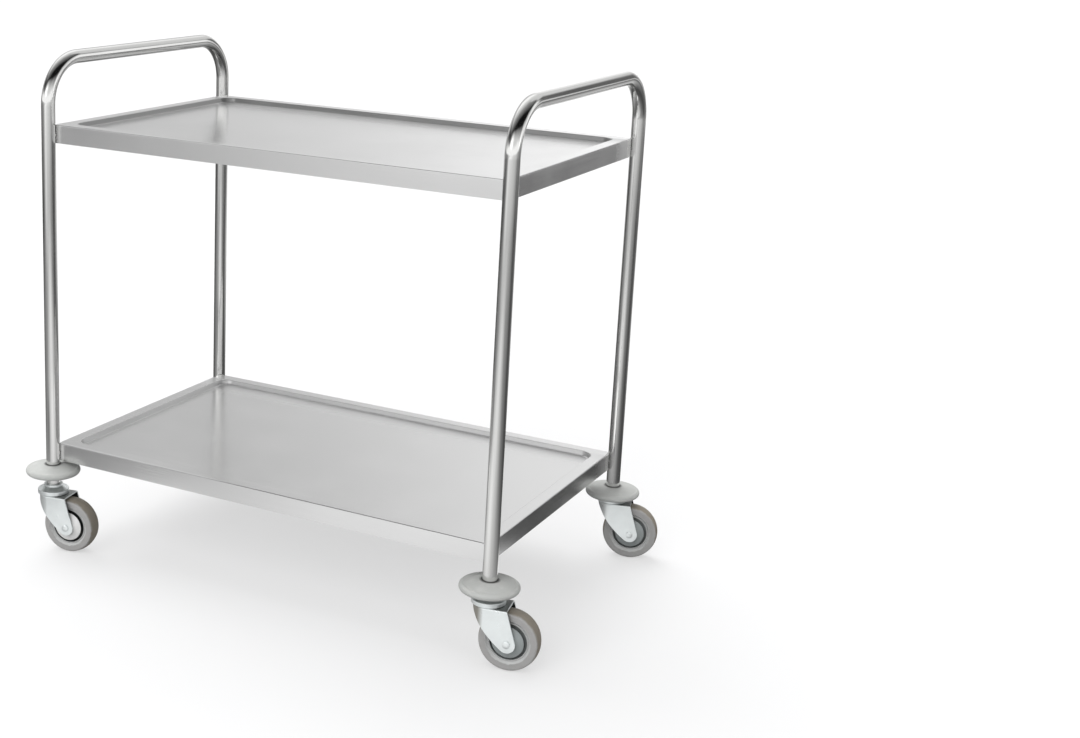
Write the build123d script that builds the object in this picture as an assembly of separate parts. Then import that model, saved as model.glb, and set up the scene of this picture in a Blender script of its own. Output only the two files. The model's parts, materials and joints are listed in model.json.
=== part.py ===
from build123d import *
import math
import os

# Two-shelf serving trolley: two bent tube end frames, two pressed tray shelves and four swivel casters.
# Millimetres. X runs along the long side, Y towards the rear, Z up. The floor is at Z = 0 and the
# origin lies on it, under the middle of the frame.

# End frames
OVERALL_HEIGHT = 922.0
TUBE_DIAMETER = 25.0
TUBE_WALL = 1.2
HANDLE_BEND_RADIUS = 80.0

# Tray shelves, measured over the outside of the apron
SHELF_LENGTH = 878.0
SHELF_WIDTH = 538.0
UPPER_RIM_HEIGHT = 796.0
LOWER_RIM_HEIGHT = 203.5
SHELF_SHEET = 1.0
SHELF_CORNER_RADIUS = 8.0
APRON_HEIGHT = 33.0
APRON_FOLD_RADIUS = 2.0
RIM_WIDTH = 23.0
RECESS_DEPTH = 9.0
RECESS_WALL_RUN = 4.0
RECESS_CORNER_RADIUS = 24.0
RECESS_BEND_RADIUS = 2.5
RIM_BEND_RADIUS = 1.5
HEM_WIDTH = 12.0
HEM_CORNER_RELIEF = 46.0

# Stiffening channel spot welded along the underside of each tray
CHANNEL_END_GAP = 34.0
CHANNEL_TOP_WIDTH = 44.0
CHANNEL_FLANGE = 14.0
CHANNEL_DEPTH = 14.0
CHANNEL_SHEET = 1.0

# Corner fixing: a bracket in each shelf corner, a bolt through it and a blind nut in the tube
BRACKET_SHEET = 2.0
BRACKET_HEIGHT = 22.0
BRACKET_SET_BACK = 22.0
BRACKET_FLANGE = 12.0
BOLT_DROP = 18.0
BOLT_DIAMETER = 6.0
BOLT_LENGTH = 30.0
BOLT_HEAD_ACROSS_FLATS = 10.0
BOLT_HEAD_HEIGHT = 4.0
BOLT_HOLE_CLEARANCE = 0.3
NUT_SLEEVE_DIAMETER = 9.0
NUT_BULGE_DIAMETER = 10.6
NUT_BULGE_LENGTH = 3.0
NUT_LENGTH = 10.8
NUT_SINK = 0.2

# Caster heights and offsets
WHEEL_DIAMETER = 102.0
CASTER_TRAIL = 38.0
FORK_RISE = 57.5
HEAD_RISE = 17.5

# Fork, pressed from one sheet
FORK_WIDTH = 50.0
FORK_SHEET = 2.5
FORK_CROWN_RADIUS = 4.0
FORK_FRONT_SKIRT = 2.5
FORK_FRONT_SLOPE = 143.0
FORK_REAR_REACH = 36.0
LEG_END_RADIUS = 14.5

# Swivel bearing
HEAD_DIAMETER = 57.0
HEAD_COLLAR_DIAMETER = 34.0
HEAD_COLLAR_HEIGHT = 3.5
HEAD_RIM_HEIGHT = 7.5
HEAD_RIM_EDGE = 1.5
HEAD_RIM_WALL = 3.0
HEAD_RIM_GAP = 1.0
BALL_DIAMETER = 6.0
BALL_COUNT = 10
BALL_CIRCLE_DIAMETER = 38.0
RACE_WIDTH = 6.4
RACE_DEPTH = 1.0
KING_BOLT_DIAMETER = 12.0
KING_BOLT_ACROSS_FLATS = 18.0
KING_BOLT_HEAD_HEIGHT = 6.0
KING_BOLT_GRIP = 28.0
SLEEVE_WALL = 2.5
SLEEVE_FLANGE_DIAMETER = 24.0
SLEEVE_FLANGE_THICKNESS = 1.6
SWIVEL_CLEARANCE = 0.4

# Plug in the foot of each post
PLUG_LENGTH = 34.0
PLUG_FLANGE_THICKNESS = 2.5

# Bumper ring round the foot of each post, measured from the widest line of its edge
BUMPER_DIAMETER = 100.0
BUMPER_RISE = 12.0
BUMPER_DROP = 9.5
BUMPER_EDGE_RISE = 6.0
BUMPER_EDGE_INSET = 7.0
BUMPER_FOOT_DIAMETER = 66.0
BUMPER_CUP_DIAMETER = 61.0
BUMPER_CUP_WALL = 2.0
BUMPER_CUP_CROWN = 5.0
BUMPER_CUP_CROWN_DIAMETER = 32.0
BUMPER_HEIGHTS = {"front_left": 152.0, "front_right": 135.5, "rear_left": 135.5, "rear_right": 125.0}

# Wheel
TYRE_WIDTH = 31.0
TYRE_SHOULDER_RADIUS = 3.0
TYRE_CROWN = 2.0
TYRE_BEVEL = 3.5
RIM_DIAMETER = 68.0
RIM_SEAT_WIDTH = 23.0
RIM_LIP = 1.0
RIM_WALL = 3.0
WEB_THICKNESS = 7.0
WEB_FILLET = 2.0
HUB_DIAMETER = 24.0
HUB_LENGTH = 38.0
SPIGOT_DIAMETER = 18.0
HUB_SIDE_GAP = 0.6
GUARD_DIAMETER = 53.0
GUARD_SHEET = 1.2
GUARD_DISH = 5.5
GUARD_LAND = 4.0
BUSH_WALL = 2.0
AXLE_DIAMETER = 8.0
AXLE_HEAD_DIAMETER = 12.5
AXLE_HEAD_HEIGHT = 3.0
AXLE_HEAD_DOME = 1.2
AXLE_NUT_ACROSS_FLATS = 13.0
AXLE_NUT_HEIGHT = 6.5
AXLE_END_LENGTH = 8.5

# Direction in which each wheel trails at rest, in degrees from +X towards +Y
REST_YAW = {"front_left": 9.0, "front_right": 10.0, "rear_left": 12.0, "rear_right": 16.0}

# Radial clearance between round pieces that fit in one another
FIT = 0.05

# Places worked out from the sizes above
TUBE_RADIUS = TUBE_DIAMETER / 2
TUBE_BORE_RADIUS = TUBE_RADIUS - TUBE_WALL
HANDLE_HEIGHT = OVERALL_HEIGHT - TUBE_RADIUS
CORNER_TO_POST = SHELF_CORNER_RADIUS + TUBE_RADIUS
POST_X = SHELF_LENGTH / 2 - SHELF_CORNER_RADIUS + CORNER_TO_POST / math.sqrt(2)
POST_Y = SHELF_WIDTH / 2 - SHELF_CORNER_RADIUS + CORNER_TO_POST / math.sqrt(2)
AXLE_HEIGHT = WHEEL_DIAMETER / 2
CROWN_TOP = AXLE_HEIGHT + FORK_RISE
CROWN_UNDERSIDE = CROWN_TOP - FORK_SHEET
RACE_FLOOR = CROWN_TOP - RACE_DEPTH
BALL_HEIGHT = RACE_FLOOR + FIT + BALL_DIAMETER / 2
HEAD_CEILING = BALL_HEIGHT + BALL_DIAMETER / 2 + FIT
HEAD_TOP = CROWN_TOP + HEAD_RISE
POST_FOOT = HEAD_TOP + PLUG_FLANGE_THICKNESS
KING_RADIUS = KING_BOLT_DIAMETER / 2
SLEEVE_RADIUS = KING_RADIUS + FIT + SLEEVE_WALL
SLEEVE_FLANGE_TOP = CROWN_UNDERSIDE - SWIVEL_CLEARANCE
SLEEVE_FLANGE_FOOT = SLEEVE_FLANGE_TOP - SLEEVE_FLANGE_THICKNESS
FORK_INSIDE = FORK_WIDTH - 2 * FORK_SHEET
AXLE_RADIUS = AXLE_DIAMETER / 2
BUSH_RADIUS = AXLE_RADIUS + FIT + BUSH_WALL
INNER_CORNER_FROM_POST = CORNER_TO_POST - (SHELF_CORNER_RADIUS - SHELF_SHEET) * math.sqrt(2)
BRACKET_FACE_FROM_POST = INNER_CORNER_FROM_POST + BRACKET_SET_BACK

OUTWARDS = (1, 0, 0)
SIDES = {"left": -1, "right": 1}
CORNERS = {
    "front_left": (-1, -1),
    "front_right": (1, -1),
    "rear_left": (-1, 1),
    "rear_right": (1, 1),
}
SHELVES = {"upper": UPPER_RIM_HEIGHT, "lower": LOWER_RIM_HEIGHT}


def turned(points):
    """Solid of revolution about Z from a closed outline of (radius, height) points."""
    outline = Polyline([(radius, 0, height) for radius, height in points], close=True)
    return revolve(make_face(outline), Axis.Z)


def turned_lines(*lines):
    """Solid of revolution about Z from lines and arcs drawn in the XZ plane."""
    return revolve(make_face(lines), Axis.Z)


def along_z(radius, low, high):
    """Round bar on the Z axis between two heights."""
    return Pos(0, 0, (low + high) / 2) * Cylinder(radius, high - low)


def hex_bar(across_flats, low, high):
    """Hexagon bar on the Z axis between two heights."""
    section = RegularPolygon(across_flats / 2, 6, major_radius=False)
    return Pos(0, 0, low) * extrude(section, high - low)


def bolt_line(corner, height):
    """Plane on a post's axis at a height, facing in to the shelf corner."""
    sign_x, sign_y = CORNERS[corner]
    origin = (sign_x * POST_X, sign_y * POST_Y, height)
    return Plane(origin=origin, x_dir=(0, 0, 1), z_dir=(-sign_x, -sign_y, 0))


def end_frame(side):
    """Inverted U of round tube: two posts and the push handle across their tops."""
    x = SIDES[side] * POST_X
    bend_start = HANDLE_HEIGHT - HANDLE_BEND_RADIUS
    bend_inset = HANDLE_BEND_RADIUS * (1 - math.sqrt(0.5))
    run = POST_Y - HANDLE_BEND_RADIUS
    bend_y = POST_Y - bend_inset
    bend_z = HANDLE_HEIGHT - bend_inset
    path = Wire([
        Line((x, -POST_Y, POST_FOOT), (x, -POST_Y, bend_start)),
        ThreePointArc((x, -POST_Y, bend_start), (x, -bend_y, bend_z), (x, -run, HANDLE_HEIGHT)),
        Line((x, -run, HANDLE_HEIGHT), (x, run, HANDLE_HEIGHT)),
        ThreePointArc((x, run, HANDLE_HEIGHT), (x, bend_y, bend_z), (x, POST_Y, bend_start)),
        Line((x, POST_Y, bend_start), (x, POST_Y, POST_FOOT)),
    ])
    foot = Plane(origin=(x, -POST_Y, POST_FOOT), z_dir=(0, 0, 1))
    tube = sweep(foot * Circle(TUBE_RADIUS), path) - sweep(foot * Circle(TUBE_BORE_RADIUS), path)
    nut_hole = along_z(NUT_SLEEVE_DIAMETER / 2 + FIT, 0, CORNER_TO_POST)
    for corner in CORNERS:
        if corner.endswith(side):
            for rim_height in SHELVES.values():
                tube -= bolt_line(corner, rim_height - BOLT_DROP) * nut_hole
    return tube


def recess_form(grow):
    """The tray's pressed recess below its rim, grown all round by a thickness."""
    length = SHELF_LENGTH - 2 * RIM_WIDTH + 2 * grow
    width = SHELF_WIDTH - 2 * RIM_WIDTH + 2 * grow
    radius = RECESS_CORNER_RADIUS + grow
    mouth = RectangleRounded(length, width, radius)
    floor_length = length - 2 * RECESS_WALL_RUN
    floor_width = width - 2 * RECESS_WALL_RUN
    floor = RectangleRounded(floor_length, floor_width, radius - RECESS_WALL_RUN)
    form = loft([mouth, Pos(0, 0, -RECESS_DEPTH - grow) * floor], ruled=True)
    return fillet(form.edges().group_by(Axis.Z)[0], RECESS_BEND_RADIUS + grow)


def inside_rim(point):
    """Whether a point lies on the recess side of the middle of the rim."""
    return abs(point.X) < (SHELF_LENGTH - RIM_WIDTH) / 2 and abs(point.Y) < (SHELF_WIDTH - RIM_WIDTH) / 2


def tray_shelf(rim_height):
    """Pressed tray: flat rim, shallow recess, folded apron and a hem under the apron's sides."""
    outer = RectangleRounded(SHELF_LENGTH, SHELF_WIDTH, SHELF_CORNER_RADIUS)
    inner = RectangleRounded(
        SHELF_LENGTH - 2 * SHELF_SHEET, SHELF_WIDTH - 2 * SHELF_SHEET, SHELF_CORNER_RADIUS - SHELF_SHEET
    )
    block = extrude(outer, -APRON_HEIGHT)
    block = fillet(block.edges().group_by(Axis.Z)[-1], APRON_FOLD_RADIUS)
    hollow = Pos(0, 0, -SHELF_SHEET) * extrude(inner, -APRON_HEIGHT)
    hollow = fillet(hollow.edges().group_by(Axis.Z)[-1], APRON_FOLD_RADIUS - SHELF_SHEET)
    tray = block - recess_form(0)
    mouth = [edge for edge in tray.edges().group_by(Axis.Z)[-1] if inside_rim(edge.center())]
    tray = fillet(mouth, RIM_BEND_RADIUS) - (hollow - recess_form(SHELF_SHEET))
    long_hem = Box(SHELF_LENGTH - 2 * HEM_CORNER_RELIEF, HEM_WIDTH + SHELF_SHEET, SHELF_SHEET)
    short_hem = Box(HEM_WIDTH + SHELF_SHEET, SHELF_WIDTH - 2 * HEM_CORNER_RELIEF, SHELF_SHEET)
    hem_x = (SHELF_LENGTH - HEM_WIDTH - SHELF_SHEET) / 2
    hem_y = (SHELF_WIDTH - HEM_WIDTH - SHELF_SHEET) / 2
    hem_z = SHELF_SHEET / 2 - APRON_HEIGHT
    for sign in (-1, 1):
        tray += Pos(0, sign * hem_y, hem_z) * long_hem
        tray += Pos(sign * hem_x, 0, hem_z) * short_hem
    tray = Pos(0, 0, rim_height) * tray
    bolt_hole = along_z(BOLT_DIAMETER / 2 + BOLT_HOLE_CLEARANCE, 0, BRACKET_FACE_FROM_POST)
    for corner in CORNERS:
        tray -= bolt_line(corner, rim_height - BOLT_DROP) * bolt_hole
    return tray


def channel(rim_height):
    """Hat-section channel along the underside of a tray."""
    half_top = CHANNEL_TOP_WIDTH / 2
    half_all = half_top + CHANNEL_FLANGE
    section = Polyline(
        (-half_all, 0),
        (-half_top, 0),
        (-half_top, -CHANNEL_DEPTH),
        (half_top, -CHANNEL_DEPTH),
        (half_top, 0),
        (half_all, 0),
        (half_all, -CHANNEL_SHEET),
        (half_top + CHANNEL_SHEET, -CHANNEL_SHEET),
        (half_top + CHANNEL_SHEET, -CHANNEL_DEPTH - CHANNEL_SHEET),
        (-half_top - CHANNEL_SHEET, -CHANNEL_DEPTH - CHANNEL_SHEET),
        (-half_top - CHANNEL_SHEET, -CHANNEL_SHEET),
        (-half_all, -CHANNEL_SHEET),
        close=True,
    )
    length = SHELF_LENGTH - 2 * RIM_WIDTH - 2 * CHANNEL_END_GAP
    start = Plane(
        origin=(-length / 2, 0, rim_height - RECESS_DEPTH - SHELF_SHEET), x_dir=(0, 1, 0), z_dir=(1, 0, 0)
    )
    return extrude(start * make_face(section), length)


def corner_bracket(corner, rim_height):
    """Bent plate across the inside of a shelf corner, welded to both aprons by its flanges."""
    reach = BRACKET_SET_BACK * math.sqrt(2)
    end = reach + BRACKET_FLANGE
    inner_reach = reach + BRACKET_SHEET * (math.sqrt(2) - 1)
    section = Polyline(
        (-end, 0),
        (-reach, 0),
        (0, -reach),
        (0, -end),
        (-BRACKET_SHEET, -end),
        (-BRACKET_SHEET, -inner_reach),
        (-inner_reach, -BRACKET_SHEET),
        (-end, -BRACKET_SHEET),
        close=True,
    )
    plate = extrude(make_face(section), BRACKET_HEIGHT / 2, both=True)
    plate = Pos(SHELF_LENGTH / 2 - SHELF_SHEET, SHELF_WIDTH / 2 - SHELF_SHEET) * plate
    sign_x, sign_y = CORNERS[corner]
    if sign_x < 0:
        plate = mirror(plate, Plane.YZ)
    if sign_y < 0:
        plate = mirror(plate, Plane.XZ)
    height = rim_height - BOLT_DROP
    hole = along_z(BOLT_DIAMETER / 2 + FIT, 0, BRACKET_FACE_FROM_POST + 2 * BRACKET_SHEET)
    return Pos(0, 0, height) * plate - bolt_line(corner, height) * hole


def shelf_bolt():
    """Hexagon bolt along Z, with Z = 0 on the axis of the post that it is screwed into."""
    seat = BRACKET_FACE_FROM_POST + BRACKET_SHEET
    shank = along_z(BOLT_DIAMETER / 2, seat - BOLT_LENGTH, seat)
    return shank + hex_bar(BOLT_HEAD_ACROSS_FLATS, seat, seat + BOLT_HEAD_HEIGHT)


def tube_nut():
    """Blind threaded insert, pressed out behind the tube's wall, with Z = 0 on the post's axis."""
    bore = BOLT_DIAMETER / 2 + FIT
    sleeve = NUT_SLEEVE_DIAMETER / 2
    bulge = NUT_BULGE_DIAMETER / 2
    mouth = TUBE_RADIUS - NUT_SINK
    bulge_top = math.sqrt(TUBE_BORE_RADIUS ** 2 - bulge ** 2) - NUT_SINK
    bulge_foot = bulge_top - NUT_BULGE_LENGTH
    foot = mouth - NUT_LENGTH
    return turned([
        (bore, mouth),
        (sleeve, mouth),
        (sleeve, bulge_top),
        (bulge, bulge_top),
        (bulge, bulge_foot),
        (sleeve, bulge_foot),
        (sleeve, foot),
        (bore, foot),
    ])


def post_plug():
    """Threaded plug in the foot of a post, with a flange under the tube's end."""
    bore = KING_RADIUS + FIT
    body = TUBE_BORE_RADIUS - FIT
    top = POST_FOOT + PLUG_LENGTH
    return turned([
        (bore, HEAD_TOP),
        (TUBE_RADIUS, HEAD_TOP),
        (TUBE_RADIUS, POST_FOOT),
        (body, POST_FOOT),
        (body, top),
        (bore, top),
    ])


def bumper():
    """Soft ring with a crowned top, a round edge and a cup below for the swivel head."""
    bore = TUBE_RADIUS + FIT
    radius = BUMPER_DIAMETER / 2
    edge = radius - BUMPER_EDGE_INSET
    foot = BUMPER_FOOT_DIAMETER / 2
    cup = BUMPER_CUP_DIAMETER / 2
    cup_crown = BUMPER_CUP_CROWN_DIAMETER / 2
    return turned_lines(
        TangentArc((bore, 0, BUMPER_RISE), (edge, 0, BUMPER_EDGE_RISE), tangent=OUTWARDS),
        ThreePointArc((edge, 0, BUMPER_EDGE_RISE), (radius, 0, 0), (edge, 0, -BUMPER_EDGE_RISE)),
        Line((edge, 0, -BUMPER_EDGE_RISE), (foot, 0, -BUMPER_DROP)),
        Line((foot, 0, -BUMPER_DROP), (cup, 0, -BUMPER_DROP)),
        Line((cup, 0, -BUMPER_DROP), (cup, 0, -BUMPER_CUP_WALL)),
        Line((cup, 0, -BUMPER_CUP_WALL), (cup_crown, 0, BUMPER_CUP_CROWN)),
        Line((cup_crown, 0, BUMPER_CUP_CROWN), (bore, 0, BUMPER_CUP_CROWN)),
        Line((bore, 0, BUMPER_CUP_CROWN), (bore, 0, BUMPER_RISE)),
    )


def swivel_head():
    """Upper half of the swivel bearing: a collar against the post's plug, a cone and a round-edged rim."""
    bore = KING_RADIUS + FIT
    collar = HEAD_COLLAR_DIAMETER / 2
    collar_foot = HEAD_TOP - HEAD_COLLAR_HEIGHT
    rim = HEAD_DIAMETER / 2
    rim_foot = CROWN_TOP + HEAD_RIM_GAP
    rim_top = rim_foot + HEAD_RIM_HEIGHT
    rim_inner = rim - HEAD_RIM_WALL
    return turned_lines(
        Line((bore, 0, HEAD_TOP), (collar, 0, HEAD_TOP)),
        Line((collar, 0, HEAD_TOP), (collar, 0, collar_foot)),
        Line((collar, 0, collar_foot), (rim - HEAD_RIM_EDGE, 0, rim_top)),
        TangentArc((rim - HEAD_RIM_EDGE, 0, rim_top), (rim, 0, rim_top - HEAD_RIM_EDGE), tangent=OUTWARDS),
        Line((rim, 0, rim_top - HEAD_RIM_EDGE), (rim, 0, rim_foot)),
        Line((rim, 0, rim_foot), (rim_inner, 0, rim_foot)),
        Line((rim_inner, 0, rim_foot), (rim_inner, 0, HEAD_CEILING)),
        Line((rim_inner, 0, HEAD_CEILING), (bore, 0, HEAD_CEILING)),
        Line((bore, 0, HEAD_CEILING), (bore, 0, HEAD_TOP)),
    )


def king_sleeve():
    """Flanged sleeve that carries the fork's crown and spaces it from the swivel head."""
    bore = KING_RADIUS + FIT
    flange = SLEEVE_FLANGE_DIAMETER / 2
    return turned([
        (bore, HEAD_CEILING),
        (SLEEVE_RADIUS, HEAD_CEILING),
        (SLEEVE_RADIUS, SLEEVE_FLANGE_TOP),
        (flange, SLEEVE_FLANGE_TOP),
        (flange, SLEEVE_FLANGE_FOOT),
        (bore, SLEEVE_FLANGE_FOOT),
    ])


def king_bolt():
    """Bolt from under the crown, through the sleeve and the head, into the post's plug."""
    shank = along_z(KING_RADIUS, SLEEVE_FLANGE_FOOT, POST_FOOT + KING_BOLT_GRIP)
    head_foot = SLEEVE_FLANGE_FOOT - KING_BOLT_HEAD_HEIGHT
    return shank + hex_bar(KING_BOLT_ACROSS_FLATS, head_foot, SLEEVE_FLANGE_FOOT)


def bearing_balls():
    """Ring of loose balls between the crown's race and the swivel head."""
    ring = PolarLocations(BALL_CIRCLE_DIAMETER / 2, BALL_COUNT)
    return [Pos(0, 0, BALL_HEIGHT) * place * Sphere(BALL_DIAMETER / 2) for place in ring]


def fork():
    """Fork about its swivel axis, with the wheel trailing along +X: a round-fronted shell, open behind."""
    half = FORK_WIDTH / 2
    reach = CASTER_TRAIL + 2 * LEG_END_RADIUS
    inside = half - FORK_SHEET

    def shell_plan(radius):
        return Circle(radius) + Pos(reach / 2, 0) * Rectangle(reach, 2 * radius)

    def leg_end(angle):
        turn = math.radians(angle)
        return (CASTER_TRAIL + LEG_END_RADIUS * math.cos(turn), AXLE_HEIGHT + LEG_END_RADIUS * math.sin(turn))

    rear_run = CASTER_TRAIL - FORK_REAR_REACH
    rear_reach = math.hypot(rear_run, FORK_RISE)
    rear_angle = math.degrees(math.atan2(FORK_RISE, -rear_run) - math.acos(LEG_END_RADIUS / rear_reach))
    front_angle = FORK_FRONT_SLOPE + 90 - 360
    front_tangent = (math.cos(math.radians(FORK_FRONT_SLOPE)), math.sin(math.radians(FORK_FRONT_SLOPE)))
    skirt = (-half, CROWN_TOP - FORK_FRONT_SKIRT)
    profile = Plane.XZ * make_face([
        Line((-half, CROWN_TOP), (FORK_REAR_REACH, CROWN_TOP)),
        Line((FORK_REAR_REACH, CROWN_TOP), leg_end(rear_angle)),
        ThreePointArc(leg_end(rear_angle), leg_end((rear_angle + front_angle) / 2), leg_end(front_angle)),
        TangentArc(leg_end(front_angle), skirt, tangent=front_tangent),
        Line(skirt, (-half, CROWN_TOP)),
    ])
    block = extrude(shell_plan(half), CROWN_TOP)
    block = fillet(block.edges().group_by(Axis.Z)[-1], FORK_CROWN_RADIUS)
    hollow = extrude(shell_plan(inside), CROWN_UNDERSIDE)
    hollow = fillet(hollow.edges().group_by(Axis.Z)[-1], FORK_CROWN_RADIUS - FORK_SHEET)
    shell = (block & extrude(profile, half, both=True)) - hollow
    race = (BALL_CIRCLE_DIAMETER - RACE_WIDTH) / 2
    shell -= turned([
        (race, RACE_FLOOR),
        (race + RACE_WIDTH, RACE_FLOOR),
        (race + RACE_WIDTH, CROWN_TOP),
        (race, CROWN_TOP),
    ])
    shell -= along_z(SLEEVE_RADIUS + SWIVEL_CLEARANCE, 0, CROWN_TOP)
    return shell - axle_place * along_z(AXLE_RADIUS + FIT, -half, half)


def axle_bolt():
    """Domed-head axle bolt along Z, its head on the outside of one fork leg."""
    half = FORK_WIDTH / 2
    head = AXLE_HEAD_DIAMETER / 2
    head_side = half + AXLE_HEAD_HEIGHT - AXLE_HEAD_DOME
    head_top = half + AXLE_HEAD_HEIGHT
    foot = -half - AXLE_END_LENGTH
    return turned_lines(
        Line((0, 0, foot), (AXLE_RADIUS, 0, foot)),
        Line((AXLE_RADIUS, 0, foot), (AXLE_RADIUS, 0, half)),
        Line((AXLE_RADIUS, 0, half), (head, 0, half)),
        Line((head, 0, half), (head, 0, head_side)),
        TangentArc((0, 0, head_top), (head, 0, head_side), tangent=OUTWARDS),
        Line((0, 0, head_top), (0, 0, foot)),
    )


def axle_nut():
    """Hexagon nut on the axle bolt's end, outside the other fork leg."""
    half = FORK_WIDTH / 2
    nut = hex_bar(AXLE_NUT_ACROSS_FLATS, -half - AXLE_NUT_HEIGHT, -half)
    return nut - along_z(AXLE_RADIUS + FIT, -half - AXLE_NUT_HEIGHT, -half)


def axle_bush():
    """Sleeve clamped between the fork legs, on which the wheel turns."""
    bush = along_z(BUSH_RADIUS, -FORK_INSIDE / 2, FORK_INSIDE / 2)
    return bush - along_z(AXLE_RADIUS + FIT, -FORK_INSIDE / 2, FORK_INSIDE / 2)


def mirrored(half_outline):
    """Closed outline of (radius, height) points from its upper half, read inside to outside."""
    return half_outline + [(radius, -height) for radius, height in reversed(half_outline)]


def wheel_hub():
    """Moulded wheel centre: bored hub, thin web and the rim that the tyre is bonded to."""
    bore = BUSH_RADIUS + FIT
    hub = HUB_DIAMETER / 2
    spigot = SPIGOT_DIAMETER / 2
    rim = RIM_DIAMETER / 2
    rim_half = RIM_SEAT_WIDTH / 2
    web_half = WEB_THICKNESS / 2
    return turned(mirrored([
        (bore, FORK_INSIDE / 2 - HUB_SIDE_GAP),
        (spigot, FORK_INSIDE / 2 - HUB_SIDE_GAP),
        (spigot, HUB_LENGTH / 2),
        (hub, HUB_LENGTH / 2),
        (hub, web_half + WEB_FILLET),
        (hub + WEB_FILLET, web_half),
        (rim - RIM_WALL - WEB_FILLET, web_half),
        (rim - RIM_WALL, web_half + WEB_FILLET),
        (rim - RIM_WALL, rim_half),
        (rim - RIM_WALL + RIM_LIP, rim_half + RIM_LIP),
        (rim - RIM_LIP, rim_half + RIM_LIP),
        (rim, rim_half),
    ]))


def tyre():
    """Soft tyre with a crowned tread, tight shoulders and flat sides, bevelled down to the rim."""
    rim = RIM_DIAMETER / 2
    tread = WHEEL_DIAMETER / 2
    seat = RIM_SEAT_WIDTH / 2
    side = TYRE_WIDTH / 2
    tread_half = side - TYRE_SHOULDER_RADIUS
    tread_edge = tread - TYRE_CROWN

    def side_lines(sign):
        bevel = (rim + TYRE_BEVEL, 0, sign * side)
        edge = (tread_edge - TYRE_SHOULDER_RADIUS, 0, sign * side)
        return [
            Line((rim, 0, sign * seat), bevel),
            Line(bevel, edge),
            TangentArc(edge, (tread_edge, 0, sign * tread_half), tangent=OUTWARDS),
        ]

    crown = ThreePointArc((tread_edge, 0, -tread_half), (tread, 0, 0), (tread_edge, 0, tread_half))
    return turned_lines(
        Line((rim, 0, -seat), (rim, 0, seat)),
        *side_lines(1),
        crown,
        *side_lines(-1),
    )


def thread_guard():
    """Dished disc on the hub's spigot, which keeps threads out of the bearing."""
    bore = SPIGOT_DIAMETER / 2 + FIT
    outer = GUARD_DIAMETER / 2
    land = bore + GUARD_LAND
    seat = HUB_LENGTH / 2
    return turned([
        (bore, seat),
        (land, seat),
        (outer, seat - GUARD_DISH),
        (outer, seat - GUARD_DISH + GUARD_SHEET),
        (land, seat + GUARD_SHEET),
        (bore, seat + GUARD_SHEET),
    ])


axle_place = Pos(CASTER_TRAIL, 0, AXLE_HEIGHT) * Rot(90, 0, 0)
post_places = {corner: Pos(sx * POST_X, sy * POST_Y, 0) for corner, (sx, sy) in CORNERS.items()}
caster_places = {corner: post_places[corner] * Rot(0, 0, REST_YAW[corner]) for corner in CORNERS}


def group(solids):
    """Separate solids that share one node."""
    return Compound(children=list(solids))


parts = {}
for side in SIDES:
    parts[f"end_frame_{side}"] = end_frame(side)
for shelf, rim_height in SHELVES.items():
    bolt_height = rim_height - BOLT_DROP
    parts[f"{shelf}_shelf"] = tray_shelf(rim_height)
    parts[f"{shelf}_channel"] = channel(rim_height)
    parts[f"{shelf}_brackets"] = group(corner_bracket(corner, rim_height) for corner in CORNERS)
    parts[f"{shelf}_bolts"] = group(bolt_line(corner, bolt_height) * shelf_bolt() for corner in CORNERS)
    parts[f"{shelf}_tube_nuts"] = group(bolt_line(corner, bolt_height) * tube_nut() for corner in CORNERS)
for node, piece in {
    "post_plugs": post_plug(),
    "king_bolts": king_bolt(),
    "king_sleeves": king_sleeve(),
}.items():
    parts[node] = group(place * piece for place in post_places.values())
for corner, place in caster_places.items():
    on_axle = place * axle_place
    parts[f"bumper_{corner}"] = post_places[corner] * Pos(0, 0, BUMPER_HEIGHTS[corner]) * bumper()
    parts[f"swivel_head_{corner}"] = post_places[corner] * swivel_head()
    parts[f"bearing_balls_{corner}"] = group(place * ball for ball in bearing_balls())
    parts[f"fork_{corner}"] = place * fork()
    parts[f"axle_bolt_{corner}"] = on_axle * axle_bolt()
    parts[f"axle_nut_{corner}"] = on_axle * axle_nut()
    parts[f"axle_bush_{corner}"] = on_axle * axle_bush()
    parts[f"wheel_hub_{corner}"] = on_axle * wheel_hub()
    parts[f"tyre_{corner}"] = on_axle * tyre()
    guards = [on_axle * thread_guard(), on_axle * Rot(180, 0, 0) * thread_guard()]
    parts[f"thread_guards_{corner}"] = group(guards)

os.makedirs("parts", exist_ok=True)
for node, solid in parts.items():
    export_step(solid, f"parts/{node}.step")
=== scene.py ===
import json
import math

import bpy
from bpy.props import FloatProperty, FloatVectorProperty, IntProperty, PointerProperty
from mathutils import Euler, Matrix, Vector


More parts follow.
